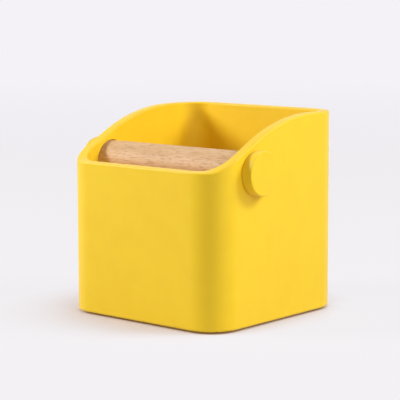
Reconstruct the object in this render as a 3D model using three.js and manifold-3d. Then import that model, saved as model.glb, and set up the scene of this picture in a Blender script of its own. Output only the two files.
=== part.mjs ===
// Espresso knock box: a moulded cube bin with a low front, a beech bar across it and an end cap on each side.
// Millimetres, +Z up. The origin lies on the surface that the box stands on, under the middle of the bin.
// The low front faces -Y and the bar lies along X.

import * as THREE from 'three';
import { mergeVertices } from 'three/addons/utils/BufferGeometryUtils.js';
import Module from 'manifold-3d';

const wasm = await Module();
wasm.setup();

// Bin
const binWidth = 120;
const binDepth = 120;
const binHeight = 120;
const wall = 6.4;
const floorThickness = 6;
const cornerRadius = 20;
const lipHeight = 91.2;
const rimSlope = THREE.MathUtils.degToRad(27);
const crestRadius = 121;
const crestSetback = 28.6;
const dipRadius = 10;
const rimFillet = 1;
const baseFillet = 1.2;
const floorFillet = 8;
const leastFoldRadius = 0.5;

// Bar, and its place in the side walls
const barDiameter = 23.6;
const barSetback = 36;
const barClearance = 0.4;
const barEndChamfer = 0.8;
const rodBoreClearance = 0.4;

// End caps
const capDiameter = 26;
const capHeight = 6.9;
const capMargin = 2.65;
const capFillet = 0.7;
const hubDiameter = 12;
const hubLength = 4;
const hubClearance = 0.4;
const insertFloor = 2.6;

// Tie rod, threaded inserts and washers
const rodDiameter = 6;
const rodEndChamfer = 0.8;
const rodTipGap = 0.7;
const threadClearance = 0.3;
const insertDiameter = 9;
const washerDiameter = 21;
const washerThickness = 1;

// Feet
const footDiameter = 12;
const footStand = 1.2;
const footSeatDepth = 1.3;
const footInset = 22;
const footFillet = 0.5;

// Clearances shared by pieces that seat on each other, and the overrun of every cut
const seatGap = 0.3;
const cutOverrun = 2;

// Facets
const cornerSteps = 12;
const sideSteps = 24;
const filletSteps = 3;
const floorFilletSteps = 6;
const largeRoundSteps = 64;
const smallRoundSteps = 32;

// Finishes
const plasticFinish = { color: 0xf5c842, roughness: 0.5, metalness: 0 };
const beechFinish = { color: 0xe4b98c, roughness: 0.6, metalness: 0 };
const steelFinish = { color: 0xb8bcc0, roughness: 0.35, metalness: 1 };
const brassFinish = { color: 0xc8a04a, roughness: 0.35, metalness: 1 };
const rubberFinish = { color: 0x2a2a2c, roughness: 0.8, metalness: 0 };

// Worked-out places
const halfWidth = binWidth / 2;
const halfDepth = binDepth / 2;
const baseLevel = footStand;
const floorLevel = baseLevel + floorThickness;
const crestLevel = baseLevel + binHeight;
const lipLevel = baseLevel + lipHeight;
const barRadius = barDiameter / 2;
const holeRadius = barRadius + barClearance;
const capRadius = capDiameter / 2;
const rodRadius = rodDiameter / 2;
const barY = barSetback - halfDepth;
const capRadiusAndMargin = capRadius + capMargin;

// The rim seen from the side: level lip, concave dip, straight slope, convex crest, level back.
// Where the rise is too small for the full slope, the two arcs meet at a lower angle.
const rimRise = Math.max(crestLevel - lipLevel, 0);
const fullArcRise = (dipRadius + crestRadius) * (1 - Math.cos(rimSlope));
const slopeAngle = rimRise < fullArcRise
  ? Math.acos(1 - rimRise / (dipRadius + crestRadius))
  : rimSlope;
const crestY = halfDepth - crestSetback;
const slopeTopY = crestY - crestRadius * Math.sin(slopeAngle);
const slopeTopLevel = crestLevel - crestRadius * (1 - Math.cos(slopeAngle));
const slopeFootLevel = lipLevel + dipRadius * (1 - Math.cos(slopeAngle));
const slopeRun = slopeAngle > 0 ? (slopeTopLevel - slopeFootLevel) / Math.tan(slopeAngle) : 0;
const slopeFootY = slopeTopY - slopeRun;
const lipEndY = slopeFootY - dipRadius * Math.sin(slopeAngle);

function rimLevel(y) {
  if (y >= crestY) return crestLevel;
  if (y >= slopeTopY) return crestLevel - crestRadius + Math.sqrt(crestRadius ** 2 - (crestY - y) ** 2);
  if (y >= slopeFootY) return slopeTopLevel - (slopeTopY - y) * Math.tan(slopeAngle);
  if (y >= lipEndY) return lipLevel + dipRadius - Math.sqrt(dipRadius ** 2 - (y - lipEndY) ** 2);
  return lipLevel;
}

const barLevel = rimLevel(barY) - capRadiusAndMargin / Math.cos(slopeAngle);

function solidOf(geometry) {
  const bare = geometry.index ? geometry.toNonIndexed() : geometry.clone();
  bare.deleteAttribute('normal');
  bare.deleteAttribute('uv');
  const merged = mergeVertices(bare);
  return new wasm.Manifold(new wasm.Mesh({
    numProp: 3,
    vertProperties: merged.attributes.position.array,
    triVerts: Uint32Array.from(merged.index.array),
  }));
}

function geometryOf(solid) {
  const { vertProperties, triVerts, numProp } = solid.getMesh();
  const geometry = new THREE.BufferGeometry();
  geometry.setAttribute('position', new THREE.BufferAttribute(new Float32Array(vertProperties), numProp));
  geometry.setIndex(new THREE.BufferAttribute(new Uint32Array(triVerts), 1));
  geometry.computeVertexNormals();
  return geometry;
}

// Quarter circle from angle 0 to 90 degrees as [1 - cos, 1 - sin] times the radius, both ends included.
function quarterRound(radius, steps) {
  return Array.from({ length: steps + 1 }, (_, step) => {
    const angle = (step / steps) * (Math.PI / 2);
    return [radius * (1 - Math.cos(angle)), radius * (1 - Math.sin(angle))];
  });
}

// One turn of the bin's plan outline at a depth inside its outer face, counter-clockwise from above.
// All turns have the same number of points, so they can be joined to each other.
function planOutline(inset) {
  const radius = Math.max(cornerRadius - inset, leastFoldRadius);
  const coreX = halfWidth - inset - radius;
  const coreY = halfDepth - inset - radius;
  const quarters = [[coreX, -coreY], [coreX, coreY], [-coreX, coreY], [-coreX, -coreY]];
  const points = [];
  quarters.forEach(([x, y], quarter) => {
    const from = (quarter - 1) * (Math.PI / 2);
    for (let step = 0; step <= cornerSteps; step++) {
      const angle = from + (step / cornerSteps) * (Math.PI / 2);
      points.push(new THREE.Vector2(x + radius * Math.cos(angle), y + radius * Math.sin(angle)));
    }
    const alongSide = quarter % 2 === 0;
    if (!alongSide) return;
    for (let step = 1; step < sideSteps; step++) {
      const share = step / sideSteps;
      const side = Math.sign(x) * (Math.abs(x) + radius);
      points.push(new THREE.Vector2(side, y * (1 - 2 * share)));
    }
  });
  return points;
}

// The wall's section as turns from the underside, up the outer face, over the rim and down to the floor.
function wallSection() {
  const edge = Math.min(rimFillet, wall / 2);
  const turns = [];
  quarterRound(baseFillet, filletSteps).forEach(([rise, inset]) => {
    turns.push({ inset, level: () => baseLevel + rise });
  });
  quarterRound(edge, filletSteps).forEach(([inset, drop]) => {
    turns.push({ inset, level: (y) => rimLevel(y) - drop });
  });
  quarterRound(edge, filletSteps).reverse().forEach(([inset, drop]) => {
    turns.push({ inset: wall - inset, level: (y) => rimLevel(y) - drop });
  });
  quarterRound(floorFillet, floorFilletSteps).forEach(([inset, rise]) => {
    turns.push({ inset: wall + inset, level: () => floorLevel + rise });
  });
  return turns;
}

function shellGeometry() {
  const rings = wallSection().map(({ inset, level }) => {
    return planOutline(inset).map(({ x, y }) => [x, y, level(y)]);
  });
  const count = rings[0].length;
  const positions = [[0, 0, baseLevel], ...rings.flat(), [0, 0, floorLevel]];
  const last = positions.length - 1;
  const indices = [];
  const at = (ring, point) => 1 + ring * count + (point % count);
  for (let point = 0; point < count; point++) {
    indices.push(0, at(0, point + 1), at(0, point));
    for (let ring = 0; ring + 1 < rings.length; ring++) {
      indices.push(at(ring, point), at(ring, point + 1), at(ring + 1, point + 1));
      indices.push(at(ring, point), at(ring + 1, point + 1), at(ring + 1, point));
    }
    indices.push(at(rings.length - 1, point), at(rings.length - 1, point + 1), last);
  }
  const geometry = new THREE.BufferGeometry();
  geometry.setAttribute('position', new THREE.Float32BufferAttribute(positions.flat(), 3));
  geometry.setIndex(indices);
  return geometry;
}

// A round rod for cutting, centred on the point that it is placed at, along the named axis.
function cutter(radius, length, along, x, y, z) {
  const geometry = new THREE.CylinderGeometry(radius, radius, length, largeRoundSteps);
  if (along === 'x') geometry.rotateZ(-Math.PI / 2);
  if (along === 'z') geometry.rotateX(Math.PI / 2);
  geometry.translate(x, y, z);
  return solidOf(geometry);
}

// The feet's places under the floor.
const footX = halfWidth - footInset;
const footY = halfDepth - footInset;
const footPlaces = [
  { name: 'foot_front_left', x: -footX, y: -footY },
  { name: 'foot_front_right', x: footX, y: -footY },
  { name: 'foot_back_left', x: -footX, y: footY },
  { name: 'foot_back_right', x: footX, y: footY },
];

// The bin with its two bar holes and the pockets that the feet sit in.
function bodyShell() {
  let shell = solidOf(shellGeometry());
  shell = shell.subtract(cutter(holeRadius, binWidth + cutOverrun, 'x', 0, barY, barLevel));
  const pocketRadius = footDiameter / 2 + seatGap;
  const pocketDepth = footSeatDepth + seatGap;
  const pocketLength = pocketDepth + cutOverrun;
  const middle = baseLevel + pocketDepth - pocketLength / 2;
  footPlaces.forEach(({ x, y }) => {
    shell = shell.subtract(cutter(pocketRadius, pocketLength, 'z', x, y, middle));
  });
  return geometryOf(shell);
}

// A turned piece. Its profile's points are [radius, place along the axis], and the axis becomes X.
function turned(profile, steps) {
  const points = profile.map(([radius, along]) => new THREE.Vector2(radius, along));
  const geometry = new THREE.LatheGeometry(points, steps);
  geometry.rotateZ(-Math.PI / 2);
  return geometry;
}

// Corner of a profile rounded by an arc from one angle to another about a centre.
function arcPoints(centreRadius, centreAlong, radius, fromDegrees, toDegrees) {
  return Array.from({ length: filletSteps + 1 }, (_, step) => {
    const degrees = fromDegrees + (step / filletSteps) * (toDegrees - fromDegrees);
    const angle = THREE.MathUtils.degToRad(degrees);
    return [centreRadius + radius * Math.cos(angle), centreAlong + radius * Math.sin(angle)];
  });
}

// Places along the bar's axis, measured outwards from a side wall's outer face.
const capInnerFace = seatGap;
const hubEnd = capInnerFace - hubLength;
const washerOuterFace = capInnerFace - seatGap;
const washerInnerFace = washerOuterFace - washerThickness;
const barEnd = washerInnerFace - seatGap;
const insertEnd = capHeight - insertFloor;
const insertInnerEnd = insertEnd - seatGap;
const rodEnd = insertInnerEnd - rodTipGap;
const hubRadius = hubDiameter / 2;
const counterboreRadius = hubRadius + hubClearance;
const counterboreDepth = hubLength - (capInnerFace - barEnd) + hubClearance;
const insertRadius = insertDiameter / 2;
const threadRadius = rodRadius + threadClearance;

// The beech bar: a dowel with a bore for the rod and a wider seat for a cap's hub at each end.
function knockBar() {
  const half = halfWidth + barEnd;
  const boreRadius = rodRadius + rodBoreClearance;
  const seatStart = half - counterboreDepth;
  const rightHalf = [
    [barRadius, half - barEndChamfer],
    [barRadius - barEndChamfer, half],
    [counterboreRadius, half],
    [counterboreRadius, seatStart],
    [boreRadius, seatStart],
  ];
  const leftHalf = rightHalf.map(([radius, along]) => [radius, -along]).reverse();
  const loop = [...leftHalf, ...rightHalf];
  return turned([...loop, loop[0]], largeRoundSteps);
}

// The round end cap with its hub and the blind pocket for the threaded insert.
function endCap() {
  const pocketRadius = insertRadius + seatGap;
  return turned([
    [0, insertEnd],
    [pocketRadius, insertEnd],
    [pocketRadius, hubEnd],
    [hubRadius, hubEnd],
    [hubRadius, capInnerFace],
    [capRadius, capInnerFace],
    ...arcPoints(capRadius - capFillet, capHeight - capFillet, capFillet, 0, 90),
    [0, capHeight],
  ], largeRoundSteps);
}

// A plain ring from one place along the axis to another.
function ring(innerRadius, outerRadius, from, to, steps) {
  const loop = [[innerRadius, from], [outerRadius, from], [outerRadius, to], [innerRadius, to]];
  return turned([...loop, loop[0]], steps);
}

function tieRod() {
  const half = halfWidth + rodEnd;
  return turned([
    [0, -half],
    [rodRadius - rodEndChamfer, -half],
    [rodRadius, rodEndChamfer - half],
    [rodRadius, half - rodEndChamfer],
    [rodRadius - rodEndChamfer, half],
    [0, half],
  ], smallRoundSteps);
}

// A rubber foot, its axis turned upright by the mesh that holds it.
function foot() {
  const radius = footDiameter / 2;
  const height = footStand + footSeatDepth;
  return turned([
    [0, 0],
    ...arcPoints(radius - footFillet, footFillet, footFillet, -90, 0),
    [radius, height],
    [0, height],
  ], smallRoundSteps);
}

function piece(name, geometry, finish) {
  const mesh = new THREE.Mesh(geometry, new THREE.MeshStandardMaterial(finish));
  mesh.name = name;
  return mesh;
}

const group = new THREE.Group();
group.add(piece('body_shell', bodyShell(), plasticFinish));

const barAssembly = new THREE.Group();
barAssembly.position.set(0, barY, barLevel);
barAssembly.add(piece('knock_bar', knockBar(), beechFinish));
barAssembly.add(piece('tie_rod', tieRod(), steelFinish));
[['left', -1], ['right', 1]].forEach(([side, sign]) => {
  const end = new THREE.Group();
  end.position.x = sign * halfWidth;
  end.rotation.z = sign < 0 ? Math.PI : 0;
  end.add(piece(`${side}_cap`, endCap(), plasticFinish));
  end.add(piece(
    `${side}_insert`,
    ring(threadRadius, insertRadius, hubEnd, insertInnerEnd, smallRoundSteps),
    brassFinish,
  ));
  end.add(piece(
    `${side}_washer`,
    ring(counterboreRadius, washerDiameter / 2, washerInnerFace, washerOuterFace, largeRoundSteps),
    rubberFinish,
  ));
  barAssembly.add(end);
});
group.add(barAssembly);

footPlaces.forEach(({ name, x, y }) => {
  const mesh = piece(name, foot(), rubberFinish);
  mesh.rotation.y = -Math.PI / 2;
  mesh.position.set(x, y, 0);
  group.add(mesh);
});

export default group;
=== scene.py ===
"""The dressed espresso knock box: a yellow moulded bin, a beech bar and what holds the bar.

Lengths are in metres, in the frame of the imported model: +Z up, the low front towards -Y, the bar along X.
Every piece takes its place and outer size from the CAD node that it stands for.
"""

import logging
import math
from abc import ABC, abstractmethod
from collections.abc import Callable, Sequence
from dataclasses import dataclass
from enum import Enum
from typing import Any

import bpy
from mathutils import Matrix, Vector


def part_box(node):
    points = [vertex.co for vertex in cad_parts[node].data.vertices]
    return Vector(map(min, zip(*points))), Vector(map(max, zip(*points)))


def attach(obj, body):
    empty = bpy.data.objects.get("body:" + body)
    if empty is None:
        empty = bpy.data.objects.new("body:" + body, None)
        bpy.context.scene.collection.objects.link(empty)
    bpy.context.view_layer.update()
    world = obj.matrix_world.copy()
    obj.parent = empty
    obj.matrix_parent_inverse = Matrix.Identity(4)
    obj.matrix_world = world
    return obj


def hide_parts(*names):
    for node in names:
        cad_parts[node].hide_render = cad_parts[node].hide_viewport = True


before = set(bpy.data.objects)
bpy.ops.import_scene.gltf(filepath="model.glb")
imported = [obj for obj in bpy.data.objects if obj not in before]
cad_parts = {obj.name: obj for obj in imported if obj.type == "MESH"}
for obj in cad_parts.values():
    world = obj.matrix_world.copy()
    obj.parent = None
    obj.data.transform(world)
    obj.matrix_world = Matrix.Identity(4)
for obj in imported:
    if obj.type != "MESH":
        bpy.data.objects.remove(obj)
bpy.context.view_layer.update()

LOG = logging.getLogger("knock_box")
MM = 0.001
QUARTER_TURN = math.pi / 2
AIM_HEIGHT = 55 * MM
CREASE_DEGREES = 35.0
LARGEST_FACE_WEIGHT = 100
FEET = ("foot_front_left", "foot_front_right", "foot_back_left", "foot_back_right")
# The sockets of a colour mix, by their numbers.
SHARE, FIRST, SECOND, MIXED = 0, 6, 7, 2

Point = tuple[float, float, float]
ProfilePoint = tuple[float, float]
Colour = tuple[float, float, float, float]
Surface = Callable[[float, float, float], float]


class Axis(Enum):
    """The ways that a turned piece's axis can point, each with the two directions across it."""

    LEFT = ((-1, 0, 0), (0, 1, 0), (0, 0, -1))
    RIGHT = ((1, 0, 0), (0, 1, 0), (0, 0, 1))
    UP = ((0, 0, 1), (1, 0, 0), (0, 1, 0))


class Side(Enum):
    """The two side walls, as the direction that each one faces along X."""

    LEFT = -1
    RIGHT = 1

    @property
    def title(self) -> str:
        """The side's name as it stands in the names of pieces."""
        return self.name.lower()

    @property
    def axis(self) -> Axis:
        """The bar's axis, pointing out of this wall."""
        return Axis[self.name]


def linear_colour(code: str) -> Colour:
    """Turns an sRGB hex colour into Blender's linear one.

    Args:
        code: the colour as "#RRGGBB".

    Returns:
        Red, green, blue and full alpha, linear.
    """
    levels = [int(code[place : place + 2], 16) / 255 for place in (1, 3, 5)]
    red, green, blue = [
        level / 12.92 if level <= 0.04045 else ((level + 0.055) / 1.055) ** 2.4 for level in levels
    ]
    return red, green, blue, 1.0


def add_object(name: str, data: bpy.types.ID) -> bpy.types.Object:
    """Puts a mesh, light or camera into the scene.

    Args:
        name: the object's name.
        data: the mesh, light or camera.

    Returns:
        The new object.
    """
    added = bpy.data.objects.new(name, data)
    bpy.context.scene.collection.objects.link(added)
    return added


def empty_tree(owner: bpy.types.Material | bpy.types.World) -> bpy.types.NodeTree:
    """Switches a material or world to nodes and clears them.

    Args:
        owner: the material or world.

    Returns:
        Its empty node tree.
    """
    owner.use_nodes = True
    owner.node_tree.nodes.clear()
    return owner.node_tree


def add_node(tree: bpy.types.NodeTree, kind: str, settings: dict[str | int, Any]) -> bpy.types.Node:
    """Adds a node with its settings and links.

    Args:
        tree: the tree that the node goes into.
        kind: Blender's type name of the node, without the ShaderNode that it starts with.
        settings: what each property or input gets, by its name or the input's number. An output is linked.

    Returns:
        The new node.
    """
    node = tree.nodes.new(f"ShaderNode{kind}")
    for name, value in settings.items():
        if isinstance(name, str) and hasattr(node, name):
            setattr(node, name, value)
        elif isinstance(value, bpy.types.NodeSocket):
            tree.links.new(value, node.inputs[name])
        else:
            node.inputs[name].default_value = value
    return node


@dataclass(frozen=True)
class Mottle:
    """Soft blotches of a real size, given as the share of a second tone that shows."""

    size: Point
    low: float = 0.35
    high: float = 0.65
    most: float = 1.0
    detail: float = 2.0
    raggedness: float = 0.55
    shift: Point = (0.0, 0.0, 0.0)

    def share(self, tree: bpy.types.NodeTree) -> bpy.types.NodeSocket:
        """Adds the blotches to a material.

        Args:
            tree: the material's node tree.

        Returns:
            The share: 0 where the noise is below its low level, rising to the most at its high level.
        """
        place = add_node(tree, "TexCoord", {})
        scale = tuple(1 / length for length in self.size)
        scaled = add_node(
            tree, "Mapping", {"Vector": place.outputs["Object"], "Scale": scale, "Location": self.shift}
        )
        noise = add_node(
            tree,
            "TexNoise",
            {
                "Vector": scaled.outputs["Vector"],
                "Scale": 1.0,
                "Detail": self.detail,
                "Roughness": self.raggedness,
            },
        )
        share = add_node(
            tree,
            "MapRange",
            {"Value": noise.outputs["Fac"], "From Min": self.low, "From Max": self.high, "To Max": self.most},
        )
        return share.outputs["Result"]


@dataclass(frozen=True)
class Finish(ABC):
    """A real material with the finish that its maker gave it, its title in a maker's words."""

    title: str

    @abstractmethod
    def shader(self, tree: bpy.types.NodeTree) -> bpy.types.Node:
        """Adds the finish's nodes.

        Args:
            tree: the material's node tree.

        Returns:
            Its Principled BSDF.
        """

    def material(self) -> bpy.types.Material:
        """Makes the finish.

        Returns:
            The Blender material.
        """
        material = bpy.data.materials.new(self.title)
        tree = empty_tree(material)
        surface = self.shader(tree).outputs["BSDF"]
        add_node(tree, "OutputMaterial", {"Surface": surface})
        return material


@dataclass(frozen=True)
class MouldedPlastic(Finish):
    """Injection-moulded ABS from a spark-eroded mould: even yellow, satin, with a very fine grain.

    The grain scatters light at a low angle, so walls seen aslant look paler than those seen square on.
    A real mould grain is 0.1 mm wide, too fine for the picture, so it is drawn 0.55 mm wide.
    """

    title: str = "abs_plastic_satin_moulded"
    colour: str = "#FDD31A"
    deep_colour: str = "#FCD018"
    flow_mark: Point = (14 * MM, 14 * MM, 14 * MM)
    grain: Point = (0.55 * MM, 0.55 * MM, 0.55 * MM)
    grain_depth: float = 0.008 * MM
    ripple: Point = (9 * MM, 9 * MM, 9 * MM)
    ripple_depth: float = 0.004 * MM
    smooth: float = 0.44
    rough: float = 0.52
    ior: float = 1.5
    gloss_level: float = 0.35
    sheen: float = 0.15
    sheen_roughness: float = 0.5

    def shader(self, tree: bpy.types.NodeTree) -> bpy.types.Node:
        """Adds faint flow marks in the colour, the mould's grain and its slow ripple.

        Args:
            tree: the material's node tree.

        Returns:
            Its Principled BSDF.
        """
        flow = Mottle(self.flow_mark).share(tree)
        plain, deep = linear_colour(self.colour), linear_colour(self.deep_colour)
        colour = add_node(tree, "Mix", {"data_type": "RGBA", SHARE: flow, FIRST: plain, SECOND: deep})
        ripple = Mottle(self.ripple, low=0.0, high=1.0, detail=1.0).share(tree)
        slow = add_node(tree, "Bump", {"Height": ripple, "Distance": self.ripple_depth})
        grain = Mottle(self.grain, low=0.3, high=0.7, detail=1.0).share(tree)
        fine = add_node(
            tree, "Bump", {"Height": grain, "Distance": self.grain_depth, "Normal": slow.outputs["Normal"]}
        )
        satin = add_node(tree, "MapRange", {"Value": grain, "To Min": self.smooth, "To Max": self.rough})
        return add_node(
            tree,
            "BsdfPrincipled",
            {
                "Base Color": colour.outputs[MIXED],
                "Roughness": satin.outputs["Result"],
                "Normal": fine.outputs["Normal"],
                "IOR": self.ior,
                "Specular IOR Level": self.gloss_level,
                "Sheen Weight": self.sheen,
                "Sheen Roughness": self.sheen_roughness,
            },
        )


@dataclass(frozen=True)
class SandedBeech(Finish):
    """Beech turned to a dowel and sanded: pale tan, with fine long streaks and the dashes of its rays.

    Real ray dashes are 0.2 to 0.4 mm wide, too fine for the picture, so they are drawn 0.6 mm wide.
    """

    title: str = "beech_sanded"
    pale: str = "#EAC499"
    warm: str = "#E0B789"
    late_wood: str = "#C99C69"
    dash: str = "#B17C4C"
    ring_spacing: float = 2.6 * MM
    pith_distance: float = 55 * MM
    pith_height: float = 19 * MM
    ring_wander: float = 1.6 * MM
    ring_share: float = 0.3
    late_wood_from: float = 0.4
    patch: Point = (40 * MM, 8 * MM, 8 * MM)
    streak: Point = (9 * MM, 0.9 * MM, 0.9 * MM)
    streak_share: float = 0.55
    dash_size: Point = (5 * MM, 0.6 * MM, 0.6 * MM)
    dash_share: float = 0.6
    pore_depth: float = 0.03 * MM
    smooth: float = 0.55
    rough: float = 0.65
    ior: float = 1.5
    gloss_level: float = 0.35

    def growth_rings(self, tree: bpy.types.NodeTree) -> bpy.types.NodeSocket:
        """Adds growth rings that run round a pith beside the dowel and along it.

        Args:
            tree: the material's node tree.

        Returns:
            The share of late wood, which rises through each ring.
        """
        place = add_node(tree, "TexCoord", {})
        across = add_node(
            tree, "VectorMath", {"operation": "MULTIPLY", 0: place.outputs["Object"], 1: (0.0, 1.0, 1.0)}
        )
        pith = (0.0, self.pith_distance, self.pith_height)
        from_pith = add_node(
            tree, "VectorMath", {"operation": "DISTANCE", 0: across.outputs["Vector"], 1: pith}
        )
        wander = Mottle(
            self.patch, low=0.2, high=0.8, most=self.ring_wander, shift=(3.0, 1.0, 2.0)
        ).share(tree)
        bent = add_node(tree, "Math", {"operation": "ADD", 0: from_pith.outputs["Value"], 1: wander})
        counted = add_node(
            tree, "Math", {"operation": "DIVIDE", 0: bent.outputs["Value"], 1: self.ring_spacing}
        )
        wave = add_node(tree, "Math", {"operation": "FRACT", 0: counted.outputs["Value"]})
        late = add_node(
            tree,
            "MapRange",
            {"Value": wave.outputs["Value"], "From Min": self.late_wood_from, "To Max": self.ring_share},
        )
        return late.outputs["Result"]

    def shader(self, tree: bpy.types.NodeTree) -> bpy.types.Node:
        """Adds patches, growth rings, grain streaks and ray dashes, and the pores' relief.

        Args:
            tree: the material's node tree.

        Returns:
            Its Principled BSDF.
        """
        pale, warm = linear_colour(self.pale), linear_colour(self.warm)
        late_wood, dash = linear_colour(self.late_wood), linear_colour(self.dash)
        patches = Mottle(self.patch, detail=3.0).share(tree)
        streaks = Mottle(
            self.streak, low=0.4, high=0.75, most=self.streak_share, detail=3.0, shift=(5.0, 2.0, 7.0)
        ).share(tree)
        dashes = Mottle(self.dash_size, low=0.52, high=0.7, most=self.dash_share, detail=1.0).share(tree)
        tone = add_node(tree, "Mix", {"data_type": "RGBA", SHARE: patches, FIRST: pale, SECOND: warm})
        for share, darker in ((self.growth_rings(tree), late_wood), (streaks, late_wood), (dashes, dash)):
            mix = {"data_type": "RGBA", SHARE: share, FIRST: tone.outputs[MIXED], SECOND: darker}
            tone = add_node(tree, "Mix", mix)
        relief = add_node(tree, "Bump", {"Height": streaks, "Distance": self.pore_depth})
        pores = add_node(
            tree,
            "Bump",
            {
                "invert": True,
                "Height": dashes,
                "Distance": self.pore_depth,
                "Normal": relief.outputs["Normal"],
            },
        )
        dull = add_node(tree, "MapRange", {"Value": streaks, "To Min": self.smooth, "To Max": self.rough})
        return add_node(
            tree,
            "BsdfPrincipled",
            {
                "Base Color": tone.outputs[MIXED],
                "Roughness": dull.outputs["Result"],
                "Normal": pores.outputs["Normal"],
                "IOR": self.ior,
                "Specular IOR Level": self.gloss_level,
            },
        )


@dataclass(frozen=True)
class TurnedMetal(Finish):
    """A metal turned on a lathe: fine marks round the axis and a soft, uneven gloss.

    Real tool marks lie 0.1 mm apart, too fine for the picture, so they are drawn 0.25 mm apart.
    """

    colour: str
    tarnish: str
    smooth: float
    rough: float
    mark_spacing: Point = (0.25 * MM, 1000 * MM, 1000 * MM)
    mark_depth: float = 0.004 * MM
    cloud: Point = (3 * MM, 3 * MM, 3 * MM)

    def shader(self, tree: bpy.types.NodeTree) -> bpy.types.Node:
        """Adds the tool marks, which repeat along the axis only, and faint clouds of tarnish.

        Args:
            tree: the material's node tree.

        Returns:
            Its Principled BSDF.
        """
        clouds = Mottle(self.cloud, low=0.45, high=0.75, detail=3.0).share(tree)
        bright, dull = linear_colour(self.colour), linear_colour(self.tarnish)
        colour = add_node(tree, "Mix", {"data_type": "RGBA", SHARE: clouds, FIRST: bright, SECOND: dull})
        marks = Mottle(self.mark_spacing, detail=1.0).share(tree)
        turned = add_node(tree, "Bump", {"Height": marks, "Distance": self.mark_depth})
        gloss = add_node(tree, "MapRange", {"Value": clouds, "To Min": self.smooth, "To Max": self.rough})
        return add_node(
            tree,
            "BsdfPrincipled",
            {
                "Base Color": colour.outputs[MIXED],
                "Metallic": 1.0,
                "Roughness": gloss.outputs["Result"],
                "Normal": turned.outputs["Normal"],
            },
        )


@dataclass(frozen=True)
class MouldedRubber(Finish):
    """Black nitrile rubber, compression-moulded: nearly matte, with a dusty sheen on its edges."""

    title: str = "nitrile_rubber_moulded"
    colour: str = "#242426"
    dusty: str = "#37373A"
    dust: Point = (4 * MM, 4 * MM, 4 * MM)
    grain: Point = (0.4 * MM, 0.4 * MM, 0.4 * MM)
    grain_depth: float = 0.02 * MM
    smooth: float = 0.72
    rough: float = 0.85
    sheen: float = 0.1

    def shader(self, tree: bpy.types.NodeTree) -> bpy.types.Node:
        """Adds a dusty mottle and the mould's grain.

        Args:
            tree: the material's node tree.

        Returns:
            Its Principled BSDF.
        """
        dust = Mottle(self.dust, low=0.4, high=0.7, detail=3.0).share(tree)
        clean, dusty = linear_colour(self.colour), linear_colour(self.dusty)
        colour = add_node(tree, "Mix", {"data_type": "RGBA", SHARE: dust, FIRST: clean, SECOND: dusty})
        grain = Mottle(self.grain, low=0.0, high=1.0).share(tree)
        rough = add_node(tree, "Bump", {"Height": grain, "Distance": self.grain_depth})
        matte = add_node(tree, "MapRange", {"Value": dust, "To Min": self.smooth, "To Max": self.rough})
        return add_node(
            tree,
            "BsdfPrincipled",
            {
                "Base Color": colour.outputs[MIXED],
                "Roughness": matte.outputs["Result"],
                "Normal": rough.outputs["Normal"],
                "Sheen Weight": self.sheen,
            },
        )


def make_piece(
    name: str, points: Sequence[Point], faces: Sequence[Sequence[int]], crease_degrees: float = CREASE_DEGREES
) -> bpy.types.Object:
    """Makes a closed, smooth-shaded piece whose sharp folds stay crisp.

    Args:
        name: the piece's name.
        points: its vertices.
        faces: its faces, as numbers of vertices, all wound the same way.
        crease_degrees: the fold above which an edge is sharp.

    Returns:
        The new object, its place in its mesh.
    """
    mesh = bpy.data.meshes.new(name)
    mesh.from_pydata(points, [], faces)
    mesh.validate()
    piece = add_object(name, mesh)
    smooth_shading(piece, crease_degrees)
    return piece


def smooth_shading(piece: bpy.types.Object, crease_degrees: float) -> None:
    """Shades a piece smooth, with crisp folds above an angle and flat faces kept flat.

    Args:
        piece: the piece to shade.
        crease_degrees: the fold above which an edge is sharp.
    """
    piece.data.shade_smooth()
    piece.data.set_sharp_from_angle(angle=math.radians(crease_degrees))
    if "flat_faces" not in piece.modifiers:
        weighted = piece.modifiers.new("flat_faces", "WEIGHTED_NORMAL")
        weighted.keep_sharp = True
        weighted.weight = LARGEST_FACE_WEIGHT


def joined_rings(
    rings: Sequence[Sequence[Point]], closed: bool = False
) -> tuple[list[Point], list[tuple[int, ...]]]:
    """Joins rings of points in order.

    Args:
        rings: rings of equally many points. A first or last ring of one point is a tip.
        closed: whether the last ring is joined to the first, as round a hollow piece.

    Returns:
        Points and faces of the closed surface.
    """
    points: list[Point] = []
    placed: list[tuple[int, int]] = []
    for ring in rings:
        placed.append((len(points), len(ring)))
        points.extend(ring)
    following = [*placed[1:], placed[0]] if closed else placed[1:]
    faces: list[tuple[int, ...]] = []
    for (lower, lower_count), (upper, upper_count) in zip(placed, following):
        count = max(lower_count, upper_count)
        for step in range(count):
            ahead = (step + 1) % count
            if lower_count == 1:
                faces.append((lower, upper + ahead, upper + step))
            elif upper_count == 1:
                faces.append((lower + step, lower + ahead, upper))
            else:
                faces.append((lower + step, lower + ahead, upper + ahead, upper + step))
    return points, faces


def rounded_profile(corners: Sequence[Point], steps: int = 5) -> list[ProfilePoint]:
    """Rounds the corners of a profile with arcs.

    Args:
        corners: each corner as its radius from the axis, its place along it and its fillet's radius.
        steps: how many flats each arc has.

    Returns:
        The profile's points.
    """
    profile: list[ProfilePoint] = []
    for number, (radius, along, fillet) in enumerate(corners):
        if fillet == 0:
            profile.append((radius, along))
            continue
        here = Vector((radius, along))
        back = (Vector(corners[number - 1][:2]) - here).normalized()
        ahead = (Vector(corners[(number + 1) % len(corners)][:2]) - here).normalized()
        half_angle = back.angle(ahead) / 2
        reach = fillet / math.tan(half_angle)
        centre = here + (back + ahead).normalized() * (fillet / math.sin(half_angle))
        start = here + back * reach - centre
        end = here + ahead * reach - centre
        turn = start.angle_signed(end)
        for step in range(steps + 1):
            spoke = start.copy()
            spoke.rotate(Matrix.Rotation(-turn * step / steps, 2))
            profile.append(tuple(centre + spoke))
    return profile


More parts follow.
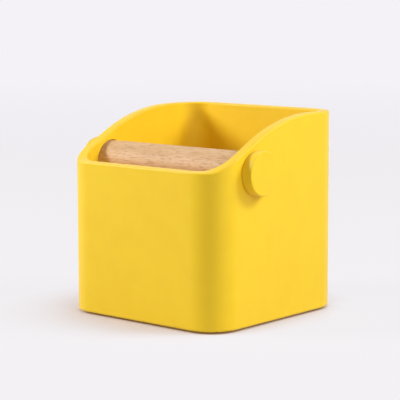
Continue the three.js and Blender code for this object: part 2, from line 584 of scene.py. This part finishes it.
def turned_piece(
    name: str,
    profile: Sequence[ProfilePoint],
    origin: Vector,
    axis: Axis,
    steps: int,
    closed: bool = False,
    surface: Surface | None = None,
    crease_degrees: float = CREASE_DEGREES,
) -> bpy.types.Object:
    """Turns a profile about an axis.

    Args:
        name: the piece's name.
        profile: each ring's radius and its place along the axis. A radius of 0 gives a tip.
        origin: the point of the axis that places are measured from.
        axis: which way the axis points.
        steps: the number of points in a ring.
        closed: whether the last ring is joined to the first, as round a hollow piece.
        surface: gives a point's radius from the ring's radius, its place and the angle round the axis.
        crease_degrees: the fold above which an edge is sharp.

    Returns:
        The new object.
    """
    along_axis, first, second = (Vector(way) for way in axis.value)
    rings: list[list[Point]] = []
    for radius, along in profile:
        middle = origin + along_axis * along
        if radius == 0:
            rings.append([tuple(middle)])
            continue
        ring: list[Point] = []
        for step in range(steps):
            angle = 2 * math.pi * step / steps
            reach = surface(radius, along, angle) if surface else radius
            ring.append(tuple(middle + (first * math.cos(angle) + second * math.sin(angle)) * reach))
        rings.append(ring)
    return make_piece(name, *joined_rings(rings, closed), crease_degrees)


def mirrored(half: Sequence[tuple[float, ...]]) -> list[tuple[float, ...]]:
    """Returns a profile's other half: the same points beyond the middle, in reverse order."""
    return [(radius, -along, *rest) for radius, along, *rest in reversed(half)]


def cut_away(piece: bpy.types.Object, cutter: bpy.types.Object) -> None:
    """Cuts one closed mesh out of another and deletes the cutter.

    Args:
        piece: the mesh that is cut, which keeps its name.
        cutter: the mesh to take away.
    """
    boolean = piece.modifiers.new("cut", "BOOLEAN")
    boolean.operation = "DIFFERENCE"
    boolean.solver = "EXACT"
    boolean.object = cutter
    bpy.context.view_layer.update()
    evaluated = piece.evaluated_get(bpy.context.evaluated_depsgraph_get())
    mesh = bpy.data.meshes.new_from_object(evaluated)
    piece.modifiers.remove(boolean)
    old_mesh = piece.data
    piece.data = mesh
    bpy.data.meshes.remove(old_mesh)
    mesh.name = piece.name
    bpy.data.objects.remove(cutter)


def fit_out(piece: bpy.types.Object, material: bpy.types.Material, node: str, body: str, slot: str) -> None:
    """Gives a finished piece its material and body, hides the CAD node that it stands for and logs its slot.

    Args:
        piece: the finished piece.
        material: its finish.
        node: the CAD node that it replaces.
        body: the CAD body that it moves with.
        slot: the record's material slot, which is only logged.
    """
    piece.data.materials.clear()
    piece.data.materials.append(material)
    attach(piece, body)
    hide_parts(node)
    LOG.info("%s rides on %s: %d faces, slot %s", piece.name, body, len(piece.data.polygons), slot)


@dataclass(frozen=True)
class BarLine:
    """The bar's axis and what is measured from it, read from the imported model."""

    centre: Vector
    bar_radius: float
    wall_face: float

    @classmethod
    def from_frame(cls) -> "BarLine":
        """Returns the line as the frame has it."""
        low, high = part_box("knock_bar")
        return cls((low + high) / 2, (high.z - low.z) / 2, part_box("body_shell")[1].x)

    def wall_point(self, side: Side) -> Vector:
        """Returns the axis's point in a side wall's outer face."""
        return Vector((side.value * self.wall_face, self.centre.y, self.centre.z))

    def reach(self, node: str, side: Side) -> tuple[float, float, float]:
        """Measures a turned CAD node at one end of the bar.

        Args:
            node: the node's name.
            side: the wall that it is at.

        Returns:
            Its radius, and its inner and outer end, measured outwards from the wall's outer face.
        """
        low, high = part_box(node)
        inner, outer = sorted(side.value * x - self.wall_face for x in (low.x, high.x))
        return (high.z - low.z) / 2, inner, outer


@dataclass
class BinShell:
    """The moulded bin: round corners, a low front and a rim that sweeps up to the high back."""

    finish: bpy.types.Material
    line: BarLine
    wall: float = 6.4 * MM
    floor_thickness: float = 6 * MM
    corner_radius: float = 20 * MM
    lip_height: float = 91.2 * MM
    rim_slope: float = math.radians(27)
    crest_radius: float = 121 * MM
    crest_setback: float = 28.6 * MM
    dip_radius: float = 10 * MM
    rim_fillet: float = 1 * MM
    base_fillet: float = 1.2 * MM
    floor_fillet: float = 8 * MM
    hole_clearance: float = 0.4 * MM
    hole_chamfer: float = 0.25 * MM
    pocket_clearance: float = 0.3 * MM
    pocket_depth: float = 1.6 * MM
    overrun: float = 3 * MM
    support_gap: float = 0.4 * MM
    corner_steps: int = 28
    side_steps: int = 60
    fillet_steps: int = 5
    floor_fillet_steps: int = 10
    hole_steps: int = 96

    def __post_init__(self) -> None:
        """Reads the outer size from the frame and works out the rim's curve."""
        low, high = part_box("body_shell")
        self.half_width = high.x
        self.half_depth = high.y
        self.base = low.z
        self.crest = high.z
        self.floor = self.base + self.floor_thickness
        self.lip = self.base + self.lip_height
        self.crest_y = self.half_depth - self.crest_setback
        self.slope_top_y = self.crest_y - self.crest_radius * math.sin(self.rim_slope)
        self.slope_top = self.crest - self.crest_radius * (1 - math.cos(self.rim_slope))
        self.slope_foot = self.lip + self.dip_radius * (1 - math.cos(self.rim_slope))
        self.slope_foot_y = self.slope_top_y - (self.slope_top - self.slope_foot) / math.tan(self.rim_slope)
        self.lip_end_y = self.slope_foot_y - self.dip_radius * math.sin(self.rim_slope)

    def rim(self, y: float) -> float:
        """Works out the rim's height.

        Args:
            y: the place from front to back.

        Returns:
            The height of the rim's flat top there.
        """
        if y >= self.crest_y:
            return self.crest
        if y >= self.slope_top_y:
            return self.crest - self.crest_radius + math.sqrt(self.crest_radius**2 - (self.crest_y - y) ** 2)
        if y >= self.slope_foot_y:
            return self.slope_top - (self.slope_top_y - y) * math.tan(self.rim_slope)
        if y >= self.lip_end_y:
            return self.lip + self.dip_radius - math.sqrt(self.dip_radius**2 - (y - self.lip_end_y) ** 2)
        return self.lip

    def plan_outline(self, inset: float) -> list[ProfilePoint]:
        """Draws the bin's outline from above, counter-clockwise.

        Args:
            inset: how far inside the outer face it lies.

        Returns:
            Its points, as many for every inset.
        """
        radius = self.corner_radius - inset
        core_x = self.half_width - inset - radius
        core_y = self.half_depth - inset - radius
        outline: list[ProfilePoint] = []
        corners = ((core_x, -core_y), (core_x, core_y), (-core_x, core_y), (-core_x, -core_y))
        for quarter, (x, y) in enumerate(corners):
            for step in range(self.corner_steps + 1):
                angle = (quarter - 1 + step / self.corner_steps) * QUARTER_TURN
                outline.append((x + radius * math.cos(angle), y + radius * math.sin(angle)))
            if quarter % 2 == 0:
                face = math.copysign(abs(x) + radius, x)
                for step in range(1, self.side_steps):
                    outline.append((face, y * (1 - 2 * step / self.side_steps)))
        return outline

    @staticmethod
    def quarter_round(radius: float, steps: int) -> list[ProfilePoint]:
        """Draws a quarter circle.

        Args:
            radius: the circle's radius.
            steps: how many flats it has.

        Returns:
            Each point as its distances from the two lines that the circle touches.
        """
        angles = [QUARTER_TURN * step / steps for step in range(steps + 1)]
        return [(radius * (1 - math.cos(angle)), radius * (1 - math.sin(angle))) for angle in angles]

    def level_turn(self, inset: float, height: float) -> list[Point]:
        """Returns one turn round the bin at a level height."""
        return [(x, y, height) for x, y in self.plan_outline(inset)]

    def rim_turn(self, inset: float, drop: float) -> list[Point]:
        """Returns one turn round the bin at a depth below the rim's top."""
        return [(x, y, self.rim(y) - drop) for x, y in self.plan_outline(inset)]

    def wall_turns(self) -> list[list[Point]]:
        """Lays out the wall. A turn beside each fillet keeps flat faces flat when they are shaded smooth.

        Returns:
            The turns from the underside up the outer face, over the rim and down to the floor.
        """
        gap, wall = self.support_gap, self.wall
        base_round = self.quarter_round(self.base_fillet, self.fillet_steps)
        rim_round = self.quarter_round(self.rim_fillet, self.fillet_steps)
        floor_round = self.quarter_round(self.floor_fillet, self.floor_fillet_steps)
        return [
            self.level_turn(self.base_fillet + gap, self.base),
            *(self.level_turn(inset, self.base + rise) for rise, inset in base_round),
            self.level_turn(0.0, self.base + self.base_fillet + gap),
            self.rim_turn(0.0, self.rim_fillet + gap),
            *(self.rim_turn(inset, drop) for inset, drop in rim_round),
            self.rim_turn(self.rim_fillet + gap, 0.0),
            self.rim_turn(wall - self.rim_fillet - gap, 0.0),
            *(self.rim_turn(wall - inset, drop) for inset, drop in reversed(rim_round)),
            self.rim_turn(wall, self.rim_fillet + gap),
            self.level_turn(wall, self.floor + self.floor_fillet + gap),
            *(self.level_turn(wall + inset, self.floor + rise) for inset, rise in floor_round),
            self.level_turn(wall + self.floor_fillet + gap, self.floor),
        ]

    def build(self) -> None:
        """Makes and dresses the bin, with its bar holes and foot pockets."""
        rings = [[(0.0, 0.0, self.base)], *self.wall_turns(), [(0.0, 0.0, self.floor)]]
        shell = make_piece("bin_shell", *joined_rings(rings))
        cut_away(shell, self.hole_cutter())
        for node in FEET:
            cut_away(shell, self.pocket_cutter(node))
        smooth_shading(shell, CREASE_DEGREES)
        fit_out(shell, self.finish, "body_shell", "bin", "moulded_plastic")

    def hole_cutter(self) -> bpy.types.Object:
        """Makes the form of both bar holes, with a small chamfer at each wall face.

        Returns:
            The form to cut away.
        """
        radius = self.line.bar_radius + self.hole_clearance
        flare = radius + self.hole_chamfer
        inner = self.half_width - self.wall
        half = [
            (flare, inner - self.overrun),
            (flare, inner),
            (radius, inner + self.hole_chamfer),
            (radius, self.half_width - self.hole_chamfer),
            (flare, self.half_width),
            (flare, self.half_width + self.overrun),
            (0.0, self.half_width + self.overrun),
        ]
        origin = Vector((0.0, self.line.centre.y, self.line.centre.z))
        profile = [*mirrored(half), *half]
        return turned_piece("hole_cutter", profile, origin, Axis.RIGHT, self.hole_steps)

    def pocket_cutter(self, node: str) -> bpy.types.Object:
        """Makes the form of the pocket that one foot sits in.

        Args:
            node: the foot's CAD node.

        Returns:
            The form to cut away.
        """
        low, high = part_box(node)
        radius = (high.x - low.x) / 2 + self.pocket_clearance
        profile = [
            (0.0, -self.overrun),
            (radius, -self.overrun),
            (radius, self.pocket_depth),
            (0.0, self.pocket_depth),
        ]
        origin = Vector(((low.x + high.x) / 2, (low.y + high.y) / 2, self.base))
        return turned_piece("pocket_cutter", profile, origin, Axis.UP, self.hole_steps)


@dataclass
class KnockBar:
    """The beech dowel, bored for the rod and seated on the caps' hubs."""

    finish: bpy.types.Material
    line: BarLine
    edge_round: float = 0.8 * MM
    bore_radius: float = 3.4 * MM
    seat_radius: float = 6.4 * MM
    seat_depth: float = 2.9 * MM
    seat_round: float = 0.3 * MM
    steps: int = 128

    def build(self) -> None:
        """Makes and dresses the bar."""
        low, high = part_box("knock_bar")
        half = (high.x - low.x) / 2
        seat = half - self.seat_depth
        right = [
            (self.line.bar_radius, half, self.edge_round),
            (self.seat_radius, half, self.seat_round),
            (self.seat_radius, seat, 0.0),
            (self.bore_radius, seat, self.seat_round),
        ]
        profile = rounded_profile([*mirrored(right), *right])
        bar = turned_piece("beech_bar", profile, self.line.centre, Axis.RIGHT, self.steps, closed=True)
        fit_out(bar, self.finish, "knock_bar", "bar", "beech")


@dataclass
class EndCap:
    """A round moulded knob with a hub that turns in the bar's end and holds the threaded insert."""

    finish: bpy.types.Material
    line: BarLine
    side: Side
    seat_gap: float = 0.3 * MM
    face_round: float = 0.7 * MM
    back_round: float = 0.3 * MM
    hub_radius: float = 6 * MM
    hub_round: float = 0.4 * MM
    pocket_radius: float = 4.8 * MM
    pocket_floor: float = 2.6 * MM
    steps: int = 128

    def build(self) -> None:
        """Makes and dresses the cap."""
        title = self.side.title
        radius, hub_end, face = self.line.reach(f"{title}_cap", self.side)
        pocket = face - self.pocket_floor
        profile = rounded_profile(
            [
                (0.0, pocket, 0.0),
                (self.pocket_radius, pocket, 0.0),
                (self.pocket_radius, hub_end, self.back_round),
                (self.hub_radius, hub_end, self.hub_round),
                (self.hub_radius, self.seat_gap, self.back_round),
                (radius, self.seat_gap, self.back_round),
                (radius, face, self.face_round),
                (0.0, face, 0.0),
            ]
        )
        origin = self.line.wall_point(self.side)
        cap = turned_piece(f"{title}_end_cap", profile, origin, self.side.axis, self.steps)
        fit_out(cap, self.finish, f"{title}_cap", f"{title}_cap_body", "moulded_plastic")


@dataclass(frozen=True)
class ScrewThread:
    """A right-hand thread that fades in and out at its ends, cut into a rod or into a bore's wall."""

    pitch: float
    depth: float
    start: float
    end: float
    in_bore: bool = False

    def radius(self, plain: float, along: float, angle: float) -> float:
        """Works out the threaded surface's radius at one point.

        Args:
            plain: the radius that it has without the thread.
            along: the place along the axis.
            angle: the angle round the axis.

        Returns:
            The radius with the thread.
        """
        turn = (along / self.pitch - angle / (2 * math.pi)) % 1.0
        groove = 1 - abs(2 * turn - 1)
        fade = min(1.0, (along - self.start) / self.pitch, (self.end - along) / self.pitch)
        sunk = self.depth * max(0.0, fade) * groove
        return plain + sunk if self.in_bore else plain - sunk


@dataclass
class ThreadedRod:
    """The zinc-plated tie rod, with an M6 thread of 1 mm pitch at each end."""

    finish: bpy.types.Material
    line: BarLine
    tip_chamfer: float = 0.8 * MM
    pitch: float = 1 * MM
    thread_depth: float = 0.55 * MM
    thread_length: float = 11 * MM
    rings_per_pitch: int = 8
    steps: int = 48
    crease_degrees: float = 60.0

    def __post_init__(self) -> None:
        """Reads the rod's size from the frame and lays out its two threads."""
        low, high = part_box("tie_rod")
        self.half = (high.x - low.x) / 2
        self.body_radius = (high.z - low.z) / 2
        self.start = self.half - self.thread_length
        self.end = self.half - self.tip_chamfer
        self.threads = (
            ScrewThread(self.pitch, self.thread_depth, self.start, self.end),
            ScrewThread(self.pitch, self.thread_depth, -self.end, -self.start),
        )

    def surface(self, plain: float, along: float, angle: float) -> float:
        """Returns the rod's radius at one point, the thread of either end included."""
        return min(thread.radius(plain, along, angle) for thread in self.threads)

    def build(self) -> None:
        """Makes and dresses the rod."""
        count = round((self.end - self.start) / self.pitch * self.rings_per_pitch)
        right: list[ProfilePoint] = [
            (self.body_radius, self.start + (self.end - self.start) * step / count)
            for step in range(count + 1)
        ]
        right += [(self.body_radius - self.tip_chamfer, self.half), (0.0, self.half)]
        profile = [*mirrored(right), *right]
        rod = turned_piece(
            "threaded_rod",
            profile,
            self.line.centre,
            Axis.RIGHT,
            self.steps,
            surface=self.surface,
            crease_degrees=self.crease_degrees,
        )
        fit_out(rod, self.finish, "tie_rod", "rod", "steel")


@dataclass
class ThreadedInsert:
    """A brass insert moulded into a cap: knurled outside, threaded inside."""

    finish: bpy.types.Material
    line: BarLine
    side: Side
    bore_radius: float = 3.05 * MM
    pitch: float = 1 * MM
    thread_depth: float = 0.25 * MM
    mouth_chamfer: float = 0.3 * MM
    collar: float = 1 * MM
    knurl_depth: float = 0.2 * MM
    knurl_count: int = 24
    rings_per_pitch: int = 8
    steps: int = 96

    def __post_init__(self) -> None:
        """Reads the insert's size from the frame and lays out its thread."""
        self.outer, self.mouth, self.inner_end = self.line.reach(f"{self.side.title}_insert", self.side)
        self.flare = self.bore_radius + self.mouth_chamfer
        self.start = self.mouth + self.mouth_chamfer
        self.end = self.inner_end - self.mouth_chamfer
        self.thread = ScrewThread(self.pitch, self.thread_depth, self.start, self.end, in_bore=True)

    def surface(self, plain: float, along: float, angle: float) -> float:
        """Works out the insert's radius at one point.

        Args:
            plain: the ring's radius without thread or knurl.
            along: the place along the axis.
            angle: the angle round the axis.

        Returns:
            The radius with the thread in the bore and the knurl outside.
        """
        if plain == self.bore_radius:
            return self.thread.radius(plain, along, angle)
        knurled = plain == self.outer and self.mouth + self.collar < along < self.inner_end
        in_groove = math.cos(self.knurl_count * angle) < 0
        return plain - self.knurl_depth if knurled and in_groove else plain

    def build(self) -> None:
        """Makes and dresses the insert."""
        count = round((self.end - self.start) / self.pitch * self.rings_per_pitch)
        bore = [
            (self.bore_radius, self.end - (self.end - self.start) * step / count) for step in range(count + 1)
        ]
        collar_end = self.mouth + self.collar
        outside = [
            (self.flare, self.mouth),
            (self.outer, self.mouth),
            (self.outer, collar_end),
            (self.outer, collar_end + self.mouth_chamfer),
            (self.outer, self.end),
            (self.outer, self.inner_end),
            (self.flare, self.inner_end),
        ]
        title = self.side.title
        insert = turned_piece(
            f"{title}_brass_insert",
            [*bore, *outside],
            self.line.wall_point(self.side),
            self.side.axis,
            self.steps,
            closed=True,
            surface=self.surface,
        )
        fit_out(insert, self.finish, f"{title}_insert", f"{title}_cap_body", "brass")


@dataclass
class EndWasher:
    """A rubber washer between a cap and the bar's end, with softly rounded edges."""

    finish: bpy.types.Material
    line: BarLine
    side: Side
    bore_radius: float = 6.4 * MM
    edge_round: float = 0.3 * MM
    steps: int = 96

    def build(self) -> None:
        """Makes and dresses the washer."""
        title = self.side.title
        radius, inner, outer = self.line.reach(f"{title}_washer", self.side)
        profile = rounded_profile(
            [
                (self.bore_radius, inner, self.edge_round),
                (radius, inner, self.edge_round),
                (radius, outer, self.edge_round),
                (self.bore_radius, outer, self.edge_round),
            ]
        )
        origin = self.line.wall_point(self.side)
        washer = turned_piece(
            f"{title}_rubber_washer", profile, origin, self.side.axis, self.steps, closed=True
        )
        fit_out(washer, self.finish, f"{title}_washer", f"{title}_washer_body", "rubber")


@dataclass
class Foot:
    """A round rubber foot, flat where it stands, its lower edge rounded."""

    finish: bpy.types.Material
    node: str
    edge_round: float = 0.6 * MM
    top_round: float = 0.2 * MM
    steps: int = 64

    def build(self) -> None:
        """Makes and dresses the foot."""
        low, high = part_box(self.node)
        radius = (high.x - low.x) / 2
        height = high.z - low.z
        profile = rounded_profile(
            [
                (0.0, 0.0, 0.0),
                (radius, 0.0, self.edge_round),
                (radius, height, self.top_round),
                (0.0, height, 0.0),
            ]
        )
        origin = Vector(((low.x + high.x) / 2, (low.y + high.y) / 2, low.z))
        foot = turned_piece(f"rubber_{self.node}", profile, origin, Axis.UP, self.steps)
        fit_out(foot, self.finish, self.node, "bin", "rubber")


def direction(azimuth: float, elevation: float) -> Vector:
    """Turns two angles into a direction seen from the box.

    Args:
        azimuth: degrees from the front towards the right.
        elevation: degrees above the floor.

    Returns:
        The unit vector.
    """
    turn, rise = math.radians(azimuth), math.radians(elevation)
    return Vector((math.sin(turn) * math.cos(rise), -math.cos(turn) * math.cos(rise), math.sin(rise)))


@dataclass(frozen=True)
class Softbox:
    """A square soft light that faces the box, its azimuth and elevation in degrees, its power in watts."""

    name: str
    azimuth: float
    elevation: float
    size: float
    power: float
    distance: float = 1.2

    def hang(self, aim: Vector) -> None:
        """Adds the light to the scene.

        Args:
            aim: the point that it faces.
        """
        data = bpy.data.lights.new(self.name, "AREA")
        data.size = self.size
        data.energy = self.power
        lamp = add_object(self.name, data)
        away = direction(self.azimuth, self.elevation)
        lamp.location = aim + away * self.distance
        lamp.rotation_euler = (-away).to_track_quat("-Z", "Y").to_euler()


@dataclass
class Studio:
    """The plain pale floor, the soft lights and the camera of the picture, its angles in degrees."""

    aim: Vector
    camera_azimuth: float = 40.54
    camera_elevation: float = 8.47
    camera_distance: float = 971 * MM
    look_azimuth: float = 40.67
    look_elevation: float = 7.85
    roll: float = -0.16
    lens: float = 143.1
    backdrop: str = "#F4F2F7"
    floor_colour: str = "#F7F5F9"
    shaded_paper: str = "#D6CBC6"
    lighting_paper: str = "#C8C6C8"
    # Painted bounce light: the yellow that the paper's glow takes near the box, and how fast it fades out.
    thrown_yellow: str = "#DEA66A"
    thrown_falloff: float = 1.8
    contact_reach: float = 55 * MM
    contact_samples: int = 8
    open_share: float = 0.11
    contact_share: float = 0.86
    # Painted lightening: towards the right the box's shadow fades out at a lower openness, so the paper there
    # shows brighter than its lighting makes it.
    contact_level: float = 0.25
    shadow_level: float = 0.97
    bright_level: float = 0.6
    bright_side_from: float = 10 * MM
    bright_side_to: float = 80 * MM
    ambient: float = 0.03
    fade_from: float = 0.7
    fade_to: float = 2.2
    floor_radius: float = 6.0
    floor_steps: int = 96
    lights: tuple[Softbox, ...] = (
        Softbox("right_softbox", azimuth=125, elevation=38, size=0.45, power=9.6),
        Softbox("low_right_softbox", azimuth=82, elevation=21, size=0.5, power=4.0),
        Softbox("left_softbox", azimuth=-50, elevation=29, size=0.4, power=12.9),
        Softbox("front_fill", azimuth=35, elevation=13, size=0.5, power=1.5),
    )

    def place_camera(self) -> None:
        """Adds the camera at the picture's viewpoint."""
        data = bpy.data.cameras.new("camera")
        data.lens = self.lens
        camera = add_object("camera", data)
        viewpoint = self.aim + direction(self.camera_azimuth, self.camera_elevation) * self.camera_distance
        turn = (
            Matrix.Rotation(math.radians(self.look_azimuth), 4, "Z")
            @ Matrix.Rotation(QUARTER_TURN - math.radians(self.look_elevation), 4, "X")
            @ Matrix.Rotation(math.radians(self.roll), 4, "Z")
        )
        camera.matrix_world = Matrix.Translation(viewpoint) @ turn
        bpy.context.scene.camera = camera

    def lay_floor(self) -> None:
        """Adds the floor, which keeps the box's shadow and fades into the backdrop."""
        angles = [2 * math.pi * step / self.floor_steps for step in range(self.floor_steps)]
        rim = [(self.floor_radius * math.cos(a), self.floor_radius * math.sin(a), 0.0) for a in angles]
        mesh = bpy.data.meshes.new("floor")
        mesh.from_pydata(rim, [], [tuple(range(self.floor_steps))])
        floor = add_object("floor", mesh)
        mesh.materials.append(self.floor_material())

    def floor_material(self) -> bpy.types.Material:
        """Makes the floor's white paper, clear where it meets the backdrop.

        To the eye it is evenly bright with a trace of shadow. Close round the box it is lit like any paper,
        so that it shows the box's shadow and the yellow that the walls throw on it, and its own glow there is
        painted that yellow as well, a painted bounce light. The shadow is faded out sooner on the right, a
        painted lightening, so there the paper shows brighter than its lighting makes it.

        Returns:
            The material.
        """
        material = bpy.data.materials.new("white_paper_sweep")
        tree = empty_tree(material)
        paper = add_node(tree, "BsdfDiffuse", {"Color": linear_colour(self.lighting_paper)})
        shaded = add_node(tree, "BsdfDiffuse", {"Color": linear_colour(self.shaded_paper)})
        contact = add_node(
            tree, "AmbientOcclusion", {"samples": self.contact_samples, "Distance": self.contact_reach}
        )
        place = add_node(tree, "TexCoord", {})
        across = add_node(tree, "SeparateXYZ", {"Vector": place.outputs["Object"]})
        edge = add_node(
            tree,
            "MapRange",
            {
                "Value": across.outputs["X"],
                "From Min": self.bright_side_from,
                "From Max": self.bright_side_to,
                "To Min": self.shadow_level,
                "To Max": self.bright_level,
            },
        )
        nearness = add_node(
            tree,
            "MapRange",
            {
                "Value": contact.outputs["AO"],
                "From Min": self.contact_level,
                "From Max": edge.outputs["Result"],
                "To Min": 1.0,
                "To Max": 0.0,
            },
        )
        near = nearness.outputs["Result"]
        share = add_node(
            tree, "MapRange", {"Value": near, "To Min": self.open_share, "To Max": self.contact_share}
        )
        # Painted bounce light: near the box the paper's glow turns towards the yellow that the walls throw on
        # it.
        white, yellow = linear_colour(self.floor_colour), linear_colour(self.thrown_yellow)
        painted_bounce_share = add_node(tree, "Math", {"operation": "POWER", 0: near, 1: self.thrown_falloff})
        painted_bounce_glow = add_node(
            tree,
            "Mix",
            {"data_type": "RGBA", SHARE: painted_bounce_share.outputs["Value"], FIRST: white, SECOND: yellow},
        )
        bright = add_node(tree, "Emission", {"Color": painted_bounce_glow.outputs[MIXED]})
        shown = add_node(
            tree,
            "MixShader",
            {0: share.outputs["Result"], 1: bright.outputs["Emission"], 2: shaded.outputs["BSDF"]},
        )
        clear = add_node(tree, "BsdfTransparent", {})
        reach = add_node(tree, "VectorMath", {"operation": "LENGTH", 0: place.outputs["Object"]})
        fade = add_node(
            tree,
            "MapRange",
            {"Value": reach.outputs["Value"], "From Min": self.fade_from, "From Max": self.fade_to},
        )
        faded = add_node(
            tree,
            "MixShader",
            {0: fade.outputs["Result"], 1: shown.outputs["Shader"], 2: clear.outputs["BSDF"]},
        )
        surface = add_node(
            tree,
            "MixShader",
            {0: self.seen_by_eye(tree), 1: paper.outputs["BSDF"], 2: faded.outputs["Shader"]},
        )
        add_node(tree, "OutputMaterial", {"Surface": surface.outputs["Shader"]})
        return material

    @staticmethod
    def seen_by_eye(tree: bpy.types.NodeTree) -> bpy.types.NodeSocket:
        """Tells what the eye sees from what only lights the box.

        Args:
            tree: the node tree of the floor or the world.

        Returns:
            1 for what is seen directly, in gloss or through glass, and 0 for lighting.
        """
        path = add_node(tree, "LightPath", {})
        seen = path.outputs["Is Camera Ray"]
        for ray in ("Is Glossy Ray", "Is Transmission Ray"):
            either = add_node(tree, "Math", {"operation": "MAXIMUM", 0: seen, 1: path.outputs[ray]})
            seen = either.outputs["Value"]
        return seen

    def hang_backdrop(self) -> None:
        """Sets the world: the backdrop's colour to the eye and an even light on the box."""
        world = bpy.data.worlds.new("studio")
        tree = empty_tree(world)
        lit = add_node(tree, "Background", {"Color": (1.0, 1.0, 1.0, 1.0), "Strength": self.ambient})
        shown = add_node(tree, "Background", {"Color": linear_colour(self.backdrop)})
        surface = add_node(
            tree,
            "MixShader",
            {0: self.seen_by_eye(tree), 1: lit.outputs["Background"], 2: shown.outputs["Background"]},
        )
        add_node(tree, "OutputWorld", {"Surface": surface.outputs["Shader"]})
        bpy.context.scene.world = world

    def set_up(self) -> None:
        """Builds the whole studio."""
        bpy.context.scene.view_settings.view_transform = "Standard"
        self.place_camera()
        self.hang_backdrop()
        self.lay_floor()
        for light in self.lights:
            light.hang(self.aim)


def main() -> None:
    """Builds the studio and every piece."""
    logging.basicConfig(level=logging.INFO, format="%(name)s: %(message)s")
    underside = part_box("body_shell")[0].z
    Studio(aim=Vector((0.0, 0.0, underside + AIM_HEIGHT))).set_up()

    plastic = MouldedPlastic().material()
    beech = SandedBeech().material()
    steel = TurnedMetal("zinc_plated_steel_turned", "#C3C6C8", "#9EA1A5", 0.24, 0.38).material()
    brass = TurnedMetal("brass_turned", "#D8B25A", "#A98038", 0.22, 0.36).material()
    rubber = MouldedRubber().material()

    line = BarLine.from_frame()
    BinShell(plastic, line).build()
    KnockBar(beech, line).build()
    ThreadedRod(steel, line).build()
    for side in Side:
        EndCap(plastic, line, side).build()
        ThreadedInsert(brass, line, side).build()
        EndWasher(rubber, line, side).build()
    for node in FEET:
        Foot(rubber, node).build()


if __name__ == "__main__":
    main()
